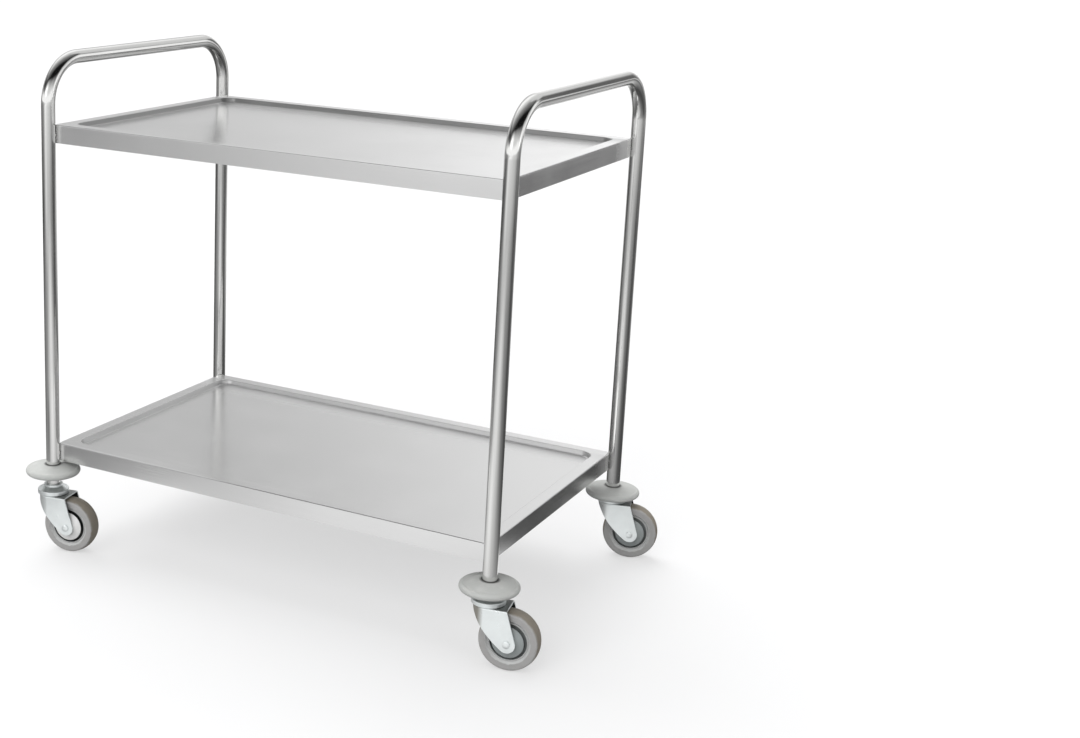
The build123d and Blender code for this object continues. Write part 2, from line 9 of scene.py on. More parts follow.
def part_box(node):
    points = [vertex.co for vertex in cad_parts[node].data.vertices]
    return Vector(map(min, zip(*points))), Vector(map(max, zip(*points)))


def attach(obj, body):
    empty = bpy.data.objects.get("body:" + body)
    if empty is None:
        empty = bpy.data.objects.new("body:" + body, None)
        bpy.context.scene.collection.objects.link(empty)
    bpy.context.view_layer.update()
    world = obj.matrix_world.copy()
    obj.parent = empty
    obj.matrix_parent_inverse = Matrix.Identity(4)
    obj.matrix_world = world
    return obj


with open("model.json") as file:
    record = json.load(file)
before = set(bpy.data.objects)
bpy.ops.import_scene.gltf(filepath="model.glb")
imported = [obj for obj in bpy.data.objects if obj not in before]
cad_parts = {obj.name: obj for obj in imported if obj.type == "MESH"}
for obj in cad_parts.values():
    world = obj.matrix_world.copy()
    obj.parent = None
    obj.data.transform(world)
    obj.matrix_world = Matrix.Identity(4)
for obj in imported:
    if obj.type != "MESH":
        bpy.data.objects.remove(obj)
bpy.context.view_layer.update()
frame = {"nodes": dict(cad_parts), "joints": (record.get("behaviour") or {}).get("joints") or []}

bl_info = {
    "name": "Serving Trolley",
    "version": (1, 0, 0),
    "blender": (4, 5, 0),
    "location": "3D View > Sidebar > Trolley",
    "description": "Finishes, weld marks, threads and a studio for a two-shelf serving trolley",
    "category": "Object",
}

CORNERS = ("front_left", "front_right", "rear_left", "rear_right")
SHELVES = ("upper", "lower")
JOINTS = {joint["name"]: joint for joint in frame["joints"]}

# Where most values of a noise lie
NOISE = (0.3, 0.7)

# Spans in metres over which a finish changes: heights, distances past a tray's floor, and radii
HANDLE_HEIGHTS = (0.865, 0.895)
BETWEEN_SHELVES = (0.45, 0.55)
BY_REAR_WALL = (-0.060, -0.004)
PAST_FLOOR = (0.0, 0.002)
# BUMPER_BORE: radii over which the painted shadow round a bumper's bore fades out
BUMPER_BORE = (0.0136, 0.0180)
RIM_LIP = (0.0311, 0.0315)
TYRE_BEVEL = (0.0370, 0.0382)
TREAD_EDGE = (0.0480, 0.0496)

# Distance in metres between the rings moulded into the wheels
TYRE_RING_PITCH = 0.004
PLASTIC_RING_PITCH = 0.0022

# How strongly painted brown shade covers the rounded front of each fork
FORK_FRONT_SHADE = {"front_left": 0.15, "front_right": 0.8, "rear_left": 0.15, "rear_right": 0.15}

# The wheel whose centre is painted dark as shade and whose thread guards are painted pale as light
PAINTED_LIGHT_WHEEL = "front_left"

# Greys that polished metal mirrors all round, by compass degrees from the front towards the right
FRONT_GREYS = (
    (-90, 0.3), (-45, 0.2), (-34, 0.4), (-26, 1.0), (-18, 1.6), (-5, 1.6), (12, 0.85), (30, 0.65), (60, 0.7),
)
REAR_GREYS = (
    (-170, 1.0), (-158, 0.96), (-154, 0.80), (-150.5, 0.69), (-147, 0.60), (-140, 0.56), (-120, 0.60),
    (-100, 0.40), (-80, 0.12), (-60, 0.0), (130, 0.0), (150, 0.05), (165, 0.14), (176, 0.55),
)
WALL_GREYS = ((143, 0.0), (147, 0.3), (149.5, 0.72), (155, 0.72), (180, 0.78), (-165, 0.0))
GAP_GREYS = ((95, 0.0), (108, 0.7), (132, 0.7), (140, 1.1), (147, 1.1), (154, 0.0))
# Glow of the reflection card past the near floor, and of a far patch, by compass degrees: painted
# reflections of the floor's light and shade
FAR_FLOOR_GLOW = (
    (-150, 0.60), (-120, 0.62), (-100, 0.44), (-80, 0.42), (-60, 0.48), (-50, 0.56), (-40, 0.72), (-32, 1.0),
    (-22, 1.2), (0, 1.1), (20, 0.94), (40, 0.78), (60, 0.69), (80, 0.56), (100, 0.36), (120, 0.30),
    (140, 0.16), (160, 0.16), (180, 0.44),
)
FAR_PATCH_GLOW = ((131, 0.0), (139, 0.9), (149, 0.8), (158, 0.4), (170, 0.0))

# Greys of the soft box by how squarely it is faced, and glow of the reflection card's near floor from the
# front to the rear, a painted reflection of the floor's light and shade
SOFT_BOX_GREYS = ((0.17, 0.0), (0.41, 0.15), (0.57, 0.26), (0.67, 0.40), (0.87, 0.76), (0.94, 1.0))
NEAR_FLOOR_GLOW = ((0.0, 0.57), (0.2, 0.47), (0.45, 0.32), (0.65, 0.26), (0.8, 0.18), (0.95, 0.08))

# Compass and height in degrees of the soft box; way and amount that the light front's edge leans
SOFT_BOX_AIM = (-138, 35)
FRONT_COMPASS = 18
FRONT_LEAN = 0.59

# Height in metres of the reflection card above the floor
CARD_LIFT = 0.0005


# Properties

def colour(name, description, default):
    """A colour setting."""
    limits = {"subtype": "COLOR", "min": 0, "max": 1}
    return FloatVectorProperty(name=name, description=description, default=default, **limits)


def length(name, description, default):
    """A setting in metres."""
    return FloatProperty(name=name, description=description, default=default, unit="LENGTH", min=0)


def share(name, description, default):
    """A setting between 0 and 1."""
    limits = {"subtype": "FACTOR", "min": 0, "max": 1}
    return FloatProperty(name=name, description=description, default=default, **limits)


def strength(name, description, default):
    """A setting of a lamp's strength."""
    return FloatProperty(name=name, description=description, default=default, min=0)


class TrolleyFinishes(bpy.types.PropertyGroup):
    """Colours and gloss of the trolley's materials."""

    tube_colour: colour("Tube", "Polished stainless tube", (0.80, 0.80, 0.79))
    tube_roughness: share("Tube Roughness", "Blur of the tube's reflections", 0.09)
    sheet_colour: colour("Sheet", "Satin stainless sheet", (0.80, 0.80, 0.80))
    sheet_roughness: share("Sheet Roughness", "Blur of the sheet's reflections", 0.15)
    panel_width: length("Panel Width", "Width of a tray's floor, which is duller along its rear edge", 0.484)
    zinc_colour: colour("Zinc", "Bright zinc plate on the casters", (0.86, 0.90, 0.90))
    zinc_roughness: share("Zinc Roughness", "Blur of the zinc's reflections", 0.26)
    steel_colour: colour("Steel", "Plain steel of the fasteners", (0.60, 0.60, 0.59))
    ball_colour: colour("Balls", "Hardened steel of the swivel balls", (0.72, 0.72, 0.73))
    grease_colour: colour("Grease", "Thin grease on the swivel balls", (0.60, 0.57, 0.50))
    bumper_colour: colour("Bumper", "Soft light grey plastic", (0.48, 0.49, 0.475))
    bumper_scuff: colour("Bumper Scuffs", "Paler rubbed places on the bumpers", (0.55, 0.555, 0.54))
    # Painted shade: this dark colour is painted round the bumpers' bores and on the forks' crowns and inner
    # leg faces.
    painted_shade_colour: colour("Grime", "Dirt at the bumpers' bores and on the forks", (0.045, 0.045, 0.042))
    # Painted shade: this brown is painted on the rounded front of a fork.
    fork_front_shade_colour: colour("Dust", "Brown dust on the rounded front of a fork", (0.24, 0.21, 0.165))
    tyre_colour: colour("Tyre Side", "Grey rubber of the tyre's sides", (0.405, 0.400, 0.394))
    bevel_colour: colour("Tyre Bevel", "Paler bevel next to the wheel's rim", (0.56, 0.565, 0.56))
    tread_colour: colour("Tread", "Dusty rubber of the tread", (0.215, 0.192, 0.158))
    hub_colour: colour("Wheel Centre", "Moulded grey plastic", (0.25, 0.265, 0.265))
    # Painted shade: this dark centre paints the deep gap round the thread guards at the front left.
    shaded_hub_colour: colour("Dark Wheel Centre", "The centre at the front left", (0.04, 0.043, 0.043))
    # A paler ring at the outer rim of each wheel centre, next to the tyre, which narrows the dark ring
    # there.
    lip_colour: colour("Rim Lip", "Rubbed lip of a wheel centre, next to the tyre", (0.42, 0.425, 0.42))
    hub_roughness: share("Wheel Centre Roughness", "Blur of the wheel centres' gloss", 0.42)
    # Painted light and shade: the thread guards are one plastic, given this shaded colour on three wheels
    # and the lit colour below at the front left.
    guard_colour: colour("Thread Guard", "Moulded plastic of the dished discs", (0.33, 0.36, 0.36))
    lit_guard_colour: colour("Pale Thread Guard", "The discs at the front left", (0.88, 0.88, 0.87))
    guard_roughness: share("Thread Guard Roughness", "Blur of the dished discs' gloss", 0.28)


class TrolleyDetail(bpy.types.PropertyGroup):
    """Sizes of the fine detail."""

    spot_diameter: length("Spot Diameter", "Width of a spot weld's mark", 0.0055)
    spot_proud: length("Spot Height", "How far a spot weld's mark stands proud", 0.0003)
    spot_spacing: length("Spot Spacing", "Distance between spot welds along a flange", 0.062)
    spot_inset: length("Spot Inset", "Distance of the spot welds from the flange's edge", 0.007)
    spot_drop: length("Spot Drop", "Where a mark starts below the tray, inside the flange", 0.0009)
    bracket_run: length("Bracket Run", "How far a corner bracket reaches along an apron", 0.0431)
    bead_width: length("Bead Width", "Width of a weld bead on a corner bracket", 0.0036)
    bead_step: length("Bead Step", "Distance between the ripples of a bead", 0.0016)
    bolt_radius: length("Bolt Radius", "Radius at the middle of a shelf bolt's thread", 0.0029)
    bolt_thread_pitch: length("Bolt Thread Pitch", "Pitch of the shelf bolts' thread", 0.001)
    bolt_thread_start: length("Bolt Thread Start", "Start of the open thread from the post's axis", 0.0118)
    bolt_thread_length: length("Bolt Thread Length", "Length of a shelf bolt's open thread", 0.0200)
    axle_radius: length("Axle Radius", "Radius at the middle of an axle bolt's thread", 0.0039)
    axle_thread_pitch: length("Axle Thread Pitch", "Pitch of the axle bolts' thread", 0.00125)
    axle_thread_start: length("Axle Thread Start", "Start of the thread from the wheel's middle", 0.0317)
    axle_thread_length: length("Axle Thread Length", "Length of an axle bolt's open thread", 0.0014)
    thread_steps: IntProperty(
        name="Thread Steps", description="Points on each turn of a thread", default=20, min=8
    )


class TrolleyStage(bpy.types.PropertyGroup):
    """Floor, lamps and camera."""

    floor_size: length("Floor Size", "Side of the square floor", 60.0)
    card_size: length("Card Size", "Side of the square reflection card on the floor", 58.0)
    floor_colour: colour("Floor", "Pale floor under the trolley", (0.36, 0.36, 0.363))
    floor_glow: share("Floor Glow", "Light of the floor where it is seen or mirrored", 0.55)
    world_light: share("World", "Soft light from all round", 0.45)
    key_power: strength("Key Lamp", "Strength of the lamp at the front", 1.6)
    fill_power: strength("Fill Lamp", "Strength of the lamp at the right", 0.5)
    top_power: strength("Top Lamp", "Strength of the lamp above the rear left", 2.2)
    camera_place: FloatVectorProperty(
        name="Camera", description="Where the camera stands", subtype="TRANSLATION", unit="LENGTH",
        default=(1.4553, -2.5834, 1.2369),
    )
    camera_turn: FloatVectorProperty(
        name="Camera Turn", description="How the camera is turned", subtype="EULER", unit="ROTATION",
        default=(math.radians(75.936), math.radians(-1.643), math.radians(29.647)),
    )
    camera_shift: FloatVectorProperty(
        name="Camera Shift", description="Shift of the picture in picture widths", size=2,
        default=(0.1806, -0.0676),
    )
    lens: FloatProperty(name="Lens", description="Focal length", default=55.998, unit="CAMERA")
    sensor: FloatProperty(name="Sensor", description="Width of the sensor", default=36.0, unit="CAMERA")


# Node helpers

def add(tree, kind, inputs=None, **settings):
    """New node with its settings, and its inputs set to values or linked from sockets."""
    node = tree.nodes.new(kind)
    for name, value in settings.items():
        setattr(node, name, value)
    for name, value in (inputs or {}).items():
        if isinstance(value, bpy.types.NodeSocket):
            tree.links.new(value, node.inputs[name])
        else:
            node.inputs[name].default_value = value
    return node


def math_node(tree, operation, first, second=0.0):
    return add(tree, "ShaderNodeMath", {0: first, 1: second}, operation=operation).outputs[0]


def plus(tree, first, second):
    return math_node(tree, "ADD", first, second)


def minus(tree, first, second):
    return math_node(tree, "SUBTRACT", first, second)


def times(tree, first, second):
    return math_node(tree, "MULTIPLY", first, second)


def larger(tree, first, second):
    return math_node(tree, "MAXIMUM", first, second)


def remap(tree, value, span, low, high):
    """A number that goes from low to high while a value crosses a span, and stays there outside it."""
    inputs = {"Value": value, "From Min": span[0], "From Max": span[1], "To Min": low, "To Max": high}
    return add(tree, "ShaderNodeMapRange", inputs).outputs["Result"]


def mix_values(tree, factor, first, second):
    """A value between two values."""
    inputs = {"Factor": factor, 2: first, 3: second}
    return add(tree, "ShaderNodeMix", inputs, data_type="FLOAT").outputs[0]


def mix_colours(tree, factor, first, second):
    """A colour between two colours, given as three numbers or sockets."""
    ends = [end if isinstance(end, bpy.types.NodeSocket) else (*end, 1) for end in (first, second)]
    inputs = {"Factor": factor, 6: ends[0], 7: ends[1]}
    return add(tree, "ShaderNodeMix", inputs, data_type="RGBA").outputs[2]


def noise(tree, vector, scale=1.0, detail=2.0, roughness=0.5):
    """Cloudy values by place."""
    inputs = {"Vector": vector, "Scale": scale, "Detail": detail, "Roughness": roughness}
    return add(tree, "ShaderNodeTexNoise", inputs).outputs["Fac"]


def stretched(tree, vector, scale):
    """Coordinates stretched by a scale along each axis."""
    return add(tree, "ShaderNodeMapping", {"Vector": vector, "Scale": scale}).outputs["Vector"]


def moved(tree, vector, step):
    """Coordinates moved by a step."""
    return add(tree, "ShaderNodeVectorMath", {0: vector, 1: step}, operation="ADD").outputs["Vector"]


def axes(tree, vector):
    """The X, Y and Z of a vector."""
    return add(tree, "ShaderNodeSeparateXYZ", {"Vector": vector}).outputs


def vector_number(tree, operation, first, second=(0, 0, 0)):
    """The number that a LENGTH, DISTANCE or DOT_PRODUCT gives."""
    return add(tree, "ShaderNodeVectorMath", {0: first, 1: second}, operation=operation).outputs["Value"]


def along(tree, direction, target):
    """How far a direction points along a vector."""
    return vector_number(tree, "DOT_PRODUCT", direction, target)


def bump(tree, height, depth):
    """Normals of a fine relief, with its depth in metres."""
    inputs = {"Height": height, "Distance": depth, "Strength": 1.0}
    return add(tree, "ShaderNodeBump", inputs).outputs["Normal"]


def toned(shade, factor):
    """A colour made darker or lighter by a factor."""
    return [value * factor for value in shade]


def socket_name(plain):
    """A shader socket's name from its plain small letters."""
    return plain.replace("_", " ").title()


def new_material(name, **shader_values):
    """Material with a Principled shader, its tree, the shader and the Object coordinates."""
    material = bpy.data.materials.new(name)
    material.use_nodes = True
    tree = material.node_tree
    shader = tree.nodes["Principled BSDF"]
    for socket, value in shader_values.items():
        shader.inputs[socket_name(socket)].default_value = value
    place = add(tree, "ShaderNodeTexCoord").outputs["Object"]
    return material, tree, shader, place


def dress(tree, shader, **values):
    """Links patterns to a shader's sockets."""
    for socket, value in values.items():
        tree.links.new(value, shader.inputs[socket_name(socket)])


def surface_normal(tree):
    """The way a face points in its piece's own space, so that it turns with the piece."""
    return add(tree, "ShaderNodeTexCoord").outputs["Normal"]


def even_shading(node):
    """Carries the shading of a tube's straight runs smoothly into its bends."""
    weld = node.modifiers.new("Weld", "WELD")
    weld.merge_threshold = 0.00001
    even = node.modifiers.new("Even Shading", "WEIGHTED_NORMAL")
    even.mode = "FACE_AREA"


def finish(nodes, material):
    """Gives CAD nodes a material."""
    for node in nodes:
        mesh = frame["nodes"][node].data
        mesh.materials.clear()
        mesh.materials.append(material)


# Materials

def polished_tube(finishes):
    """Stainless tube with fine polishing lines along it and a few smudges."""
    material, tree, shader, place = new_material("polished_tube", metallic=1.0)
    on_handle = remap(tree, axes(tree, place)["Z"], HANDLE_HEIGHTS, 0, 1)
    post_lines = noise(tree, stretched(tree, place, (900, 900, 5)))
    handle_lines = noise(tree, stretched(tree, place, (900, 5, 900)))
    lines = mix_values(tree, on_handle, post_lines, handle_lines)
    smudges = noise(tree, place, scale=9.0, detail=4.0)
    low = finishes.tube_roughness
    polish = remap(tree, lines, NOISE, low, low + 0.05)
    smears = remap(tree, smudges, (0.5, 0.8), 0, 0.06)
    steel = mix_colours(tree, smudges, finishes.tube_colour, toned(finishes.tube_colour, 0.93))
    lined = bump(tree, lines, depth=0.00002)
    dress(tree, shader, base_color=steel, roughness=plus(tree, polish, smears), normal=lined)
    return material


def satin_sheet(finishes):
    """Stainless sheet with a fine grain along X, or along Y on faces turned to the ends.

    The pressed walls are blurrier and carry painted shade, strong on the upper tray and light on the lower;
    a tray's floor is also blurrier along its rear wall.
    """
    material, tree, shader, place = new_material("satin_sheet", metallic=1.0)
    at = axes(tree, place)
    normal = surface_normal(tree)
    to_end = math_node(tree, "ABSOLUTE", axes(tree, normal)["X"])
    long_grain = noise(tree, stretched(tree, place, (6, 1400, 1400)), detail=3.0)
    end_grain = noise(tree, stretched(tree, place, (1400, 6, 1400)), detail=3.0)
    grain = mix_values(tree, remap(tree, to_end, (0.6, 0.8), 0, 1), long_grain, end_grain)
    patches = noise(tree, place, scale=7.0, detail=3.0)
    low = finishes.sheet_roughness
    satin = remap(tree, grain, NOISE, low, low + 0.08)
    rough = plus(tree, satin, remap(tree, patches, (0.4, 0.7), 0, 0.05))
    outwards = along(tree, normal, stretched(tree, place, (1, 1, 0)))
    pressed = remap(tree, outwards, (-0.02, -0.10), 0, 1)
    on_lower = remap(tree, at["Z"], BETWEEN_SHELVES, 1, 0)
    wall_blur = times(tree, pressed, remap(tree, on_lower, (0, 1), 0.14, 0.20))
    past_floor = minus(tree, at["Y"], finishes.panel_width / 2)
    floor_blur = remap(tree, past_floor, BY_REAR_WALL, 0, 0.22)
    floor_blur = times(tree, floor_blur, remap(tree, past_floor, PAST_FLOOR, 1, 0))
    rough = plus(tree, rough, larger(tree, wall_blur, floor_blur))
    clean = mix_colours(tree, grain, finishes.sheet_colour, toned(finishes.sheet_colour, 0.96))
    # Painted shade: the pressed walls' colour darkens towards 0.70 of the sheet, fully on the upper tray and
    # a fifth as much on the lower.
    recess_shade = times(tree, pressed, remap(tree, on_lower, (0, 1), 1.0, 0.2))
    sheet = mix_colours(tree, recess_shade, clean, toned(finishes.sheet_colour, 0.70))
    dress(tree, shader, base_color=sheet, roughness=rough, normal=bump(tree, grain, depth=0.00002))
    return material


def zinc_plate(finishes, corner=None):
    """Bright zinc with a faint cloudy spangle; on a corner's fork it also carries painted shade."""
    name = f"zinc_plate_{corner}" if corner else "zinc_plate"
    material, tree, shader, place = new_material(name, metallic=0.85)
    cloud = noise(tree, place, scale=60.0, detail=3.0)
    spangle = add(tree, "ShaderNodeTexVoronoi", {"Vector": place, "Scale": 420.0}).outputs["Color"]
    level = add(tree, "ShaderNodeSeparateColor", {"Color": spangle}).outputs["Red"]
    low = finishes.zinc_roughness
    spangled = remap(tree, level, (0, 1), low, low + 0.07)
    rough = plus(tree, spangled, remap(tree, cloud, NOISE, 0, 0.06))
    plate = mix_colours(tree, cloud, finishes.zinc_colour, toned(finishes.zinc_colour, 0.90))
    if corner:
        plate = fork_painted_shade(tree, place, plate, finishes, corner)
    dress(tree, shader, base_color=plate, roughness=rough, normal=bump(tree, cloud, depth=0.00004))
    return material


def fork_painted_shade(tree, place, plate, finishes, corner):
    """A fork's plate with painted brown shade on its rounded front, and painted dark shade on its crown and
    inside its legs.
    """
    spin = JOINTS[f"wheel_{corner}_spin"]
    wheel = Vector(spin["pos_m"])
    normal = surface_normal(tree)
    side = math_node(tree, "SIGN", along(tree, moved(tree, place, -wheel), spin["axis"]))
    outwards = times(tree, along(tree, normal, spin["axis"]), side)
    # Painted shade: the legs' inner faces and the crown's top are painted dark, where the wheel and the
    # bumper shade them.
    inner = remap(tree, outwards, (-0.3, -0.7), 0, 0.95)
    crown = remap(tree, along(tree, normal, (0, 0, 1)), (0.6, 0.9), 0, 0.7)
    ahead = Vector(JOINTS[f"swivel_{corner}_turn"]["pos_m"]) - wheel
    ahead.z = 0
    # Painted shade: a warm brown painted on the rounded front, thickest at the front right.
    front = remap(tree, along(tree, normal, ahead.normalized()), (0.10, 0.50), 0, FORK_FRONT_SHADE[corner])
    shaded_front = mix_colours(tree, front, plate, finishes.fork_front_shade_colour)
    return mix_colours(tree, larger(tree, inner, crown), shaded_front, finishes.painted_shade_colour)


def plain_steel(finishes):
    """Machined steel of the bolts, nuts, sleeves and plugs."""
    material, tree, shader, place = new_material("plain_steel", metallic=1.0)
    marks = noise(tree, place, scale=700.0, detail=3.0)
    steel = mix_colours(tree, marks, finishes.steel_colour, toned(finishes.steel_colour, 0.85))
    rough = remap(tree, marks, NOISE, 0.26, 0.40)
    dress(tree, shader, base_color=steel, roughness=rough, normal=bump(tree, marks, depth=0.00002))
    return material


def bearing_steel(finishes):
    """Bright hardened balls with a thin smear of grease."""
    material, tree, shader, place = new_material("bearing_steel", metallic=1.0)
    grease = noise(tree, place, scale=160.0)
    steel = mix_colours(tree, grease, finishes.ball_colour, finishes.grease_colour)
    dress(tree, shader, base_color=steel, roughness=remap(tree, grease, (0.4, 0.7), 0.06, 0.22))
    return material


def post_distance(tree, place):
    """Distance from the axis of the nearest post."""
    post = JOINTS["swivel_rear_right_turn"]["pos_m"]
    at = axes(tree, place)
    aside = minus(tree, math_node(tree, "ABSOLUTE", at["X"]), post[0])
    ahead = minus(tree, math_node(tree, "ABSOLUTE", at["Y"]), post[1])
    flat = add(tree, "ShaderNodeCombineXYZ", {"X": aside, "Y": ahead}).outputs["Vector"]
    return vector_number(tree, "LENGTH", flat)


def bumper_plastic(finishes):
    """Soft grey plastic with a fine moulded texture, a few paler scuffs and a painted dark shadow where the
    post enters.
    """
    material, tree, shader, place = new_material("bumper_plastic")
    texture = noise(tree, place, scale=1500.0)
    scuffs = noise(tree, stretched(tree, place, (40, 40, 160)), detail=5.0, roughness=0.6)
    worn = remap(tree, scuffs, (0.52, 0.72), 0, 1)
    # Painted shadow: the plastic darkens to the shade colour close round each post's bore.
    bore_shadow = remap(tree, post_distance(tree, place), BUMPER_BORE, 1, 0)
    clean = mix_colours(tree, worn, finishes.bumper_colour, finishes.bumper_scuff)
    plastic = mix_colours(tree, bore_shadow, clean, finishes.painted_shade_colour)
    rough = remap(tree, scuffs, NOISE, 0.46, 0.62)
    dress(tree, shader, base_color=plastic, roughness=rough, normal=bump(tree, texture, depth=0.00005))
    return material


def wheel_place(tree, place, corner):
    """Coordinates about a wheel's centre, with Y along its axle, and the distance from that axle."""
    spin = JOINTS[f"wheel_{corner}_spin"]
    yaw = math.atan2(-spin["axis"][0], spin["axis"][1])
    inputs = {"Vector": place, "Location": spin["pos_m"], "Rotation": (0, 0, yaw)}
    local = add(tree, "ShaderNodeMapping", inputs, vector_type="TEXTURE").outputs["Vector"]
    at = axes(tree, local)
    flat = add(tree, "ShaderNodeCombineXYZ", {"X": at["X"], "Z": at["Z"]}).outputs["Vector"]
    return local, vector_number(tree, "LENGTH", flat)


def moulded_rings(tree, radius, pitch):
    """Waves by the distance from an axle."""
    return math_node(tree, "SINE", times(tree, radius, 2 * math.pi / pitch))


def tyre_rubber(finishes, corner):
    """Grey rubber with faint moulded rings, a paler bevel at the rim and a browner tread with dust."""
    material, tree, shader, place = new_material(f"tyre_rubber_{corner}")
    local, radius = wheel_place(tree, place, corner)
    dust = noise(tree, local, scale=90.0, detail=5.0, roughness=0.6)
    edge = plus(tree, radius, remap(tree, dust, NOISE, -0.0008, 0.0008))
    flat = mix_colours(tree, dust, finishes.tyre_colour, toned(finishes.tyre_colour, 0.86))
    side = mix_colours(tree, remap(tree, edge, TYRE_BEVEL, 1, 0), flat, finishes.bevel_colour)
    tread = mix_colours(tree, dust, finishes.tread_colour, toned(finishes.tread_colour, 1.35))
    rubber = mix_colours(tree, remap(tree, edge, TREAD_EDGE, 0, 1), side, tread)
    rings = times(tree, moulded_rings(tree, radius, TYRE_RING_PITCH), 0.25)
    height = plus(tree, rings, noise(tree, local, scale=1800.0))
    rough = remap(tree, dust, NOISE, 0.52, 0.72)
    dress(tree, shader, base_color=rubber, roughness=rough, normal=bump(tree, height, depth=0.00008))
    return material


def moulded_plastic(name, main_colour, roughness, corner, lip_colour=None):
    """Moulded plastic of a wheel, with faint turning rings, thin dust and, if given, a paler ring at its rim
    lip.
    """
    material, tree, shader, place = new_material(f"{name}_{corner}")
    local, radius = wheel_place(tree, place, corner)
    dust = noise(tree, local, scale=120.0, detail=4.0)
    plastic = mix_colours(tree, dust, main_colour, toned(main_colour, 0.84))
    # A paler ring at the centre's outer rim, past RIM_LIP.
    if lip_colour is not None:
        plastic = mix_colours(tree, remap(tree, radius, RIM_LIP, 0, 1), plastic, lip_colour)
    rough = remap(tree, dust, NOISE, roughness, roughness + 0.14)
    rings = moulded_rings(tree, radius, PLASTIC_RING_PITCH)
    dress(tree, shader, base_color=plastic, roughness=rough, normal=bump(tree, rings, depth=0.00003))
    return material


# Geometry Nodes

def new_tree(name, sizes):
    """Geometry Nodes tree with a Material input and named sizes; gives the tree and its input sockets."""
    tree = bpy.data.node_groups.new(name, "GeometryNodeTree")
    tree.interface.new_socket("Geometry", in_out="OUTPUT", socket_type="NodeSocketGeometry")
    for size, kind in {**sizes, "Material": "NodeSocketMaterial"}.items():
        tree.interface.new_socket(size, in_out="INPUT", socket_type=kind)
    return tree, tree.nodes.new("NodeGroupInput").outputs


def end_tree(tree, geometry, material):
    """Realizes the instances, sets the material and closes the tree."""
    real = add(tree, "GeometryNodeRealizeInstances", {"Geometry": geometry}).outputs["Geometry"]
    inputs = {"Geometry": real, "Material": material}
    done = add(tree, "GeometryNodeSetMaterial", inputs).outputs["Geometry"]
    add(tree, "NodeGroupOutput", {"Geometry": done})


def row_of(tree, shape, count, step):
    """Copies of a shape at equal steps from the origin."""
    row = add(tree, "GeometryNodeMeshLine", {"Count": count, "Offset": step}).outputs["Mesh"]
    inputs = {"Points": row, "Instance": shape}
    return add(tree, "GeometryNodeInstanceOnPoints", inputs).outputs["Instances"]


def spot_row_tree():
    """A row of flat round marks along X, with the first at the origin and their faces towards -Z."""
    sizes = {"Count": "NodeSocketInt", "Spacing": "NodeSocketFloat", "Diameter": "NodeSocketFloat",
             "Height": "NodeSocketFloat"}
    tree, given = new_tree("spot_weld_row", sizes)
    step = add(tree, "ShaderNodeCombineXYZ", {"X": given["Spacing"]}).outputs["Vector"]
    wide = times(tree, given["Diameter"], 0.5)
    narrow = times(tree, given["Diameter"], 0.36)
    cone = {"Vertices": 20, "Radius Top": wide, "Radius Bottom": narrow, "Depth": given["Height"]}
    mark = add(tree, "GeometryNodeMeshCone", cone).outputs["Mesh"]
    drop = times(tree, given["Height"], -1.0)
    shift = add(tree, "ShaderNodeCombineXYZ", {"Z": drop}).outputs["Vector"]
    mark = add(tree, "GeometryNodeTransform", {"Geometry": mark, "Translation": shift}).outputs["Geometry"]
    end_tree(tree, row_of(tree, mark, given["Count"], step), given["Material"])
    return tree


def bead_tree():
    """A weld bead up Z from the origin: a row of overlapping ripples."""
    sizes = {"Count": "NodeSocketInt", "Step": "NodeSocketFloat", "Width": "NodeSocketFloat"}
    tree, given = new_tree("weld_bead", sizes)
    step = add(tree, "ShaderNodeCombineXYZ", {"Z": given["Step"]}).outputs["Vector"]
    ball = {"Segments": 12, "Rings": 7, "Radius": times(tree, given["Width"], 0.5)}
    ripple = add(tree, "GeometryNodeMeshUVSphere", ball).outputs["Mesh"]
    flat = {"Geometry": ripple, "Scale": (1, 1, 0.55)}
    ripple = add(tree, "GeometryNodeTransform", flat).outputs["Geometry"]
    end_tree(tree, row_of(tree, ripple, given["Count"], step), given["Material"])
    return tree


def thread_tree():
    """A thread's ridge round Z, from the origin upwards."""
    sizes = {"Radius": "NodeSocketFloat", "Pitch": "NodeSocketFloat", "Length": "NodeSocketFloat",
             "Steps": "NodeSocketInt"}
    tree, given = new_tree("thread_ridge", sizes)
    turns = math_node(tree, "DIVIDE", given["Length"], given["Pitch"])
    spiral = {"Resolution": given["Steps"], "Rotations": turns, "Start Radius": given["Radius"],
              "End Radius": given["Radius"], "Height": given["Length"]}
    path = add(tree, "GeometryNodeCurveSpiral", spiral).outputs["Curve"]
    ridge = {"Resolution": 4, "Radius": times(tree, given["Pitch"], 0.3)}
    profile = add(tree, "GeometryNodeCurvePrimitiveCircle", ridge).outputs["Curve"]
    inputs = {"Curve": path, "Profile Curve": profile, "Fill Caps": True}
    mesh = add(tree, "GeometryNodeCurveToMesh", inputs).outputs["Mesh"]
    end_tree(tree, mesh, given["Material"])
    return tree


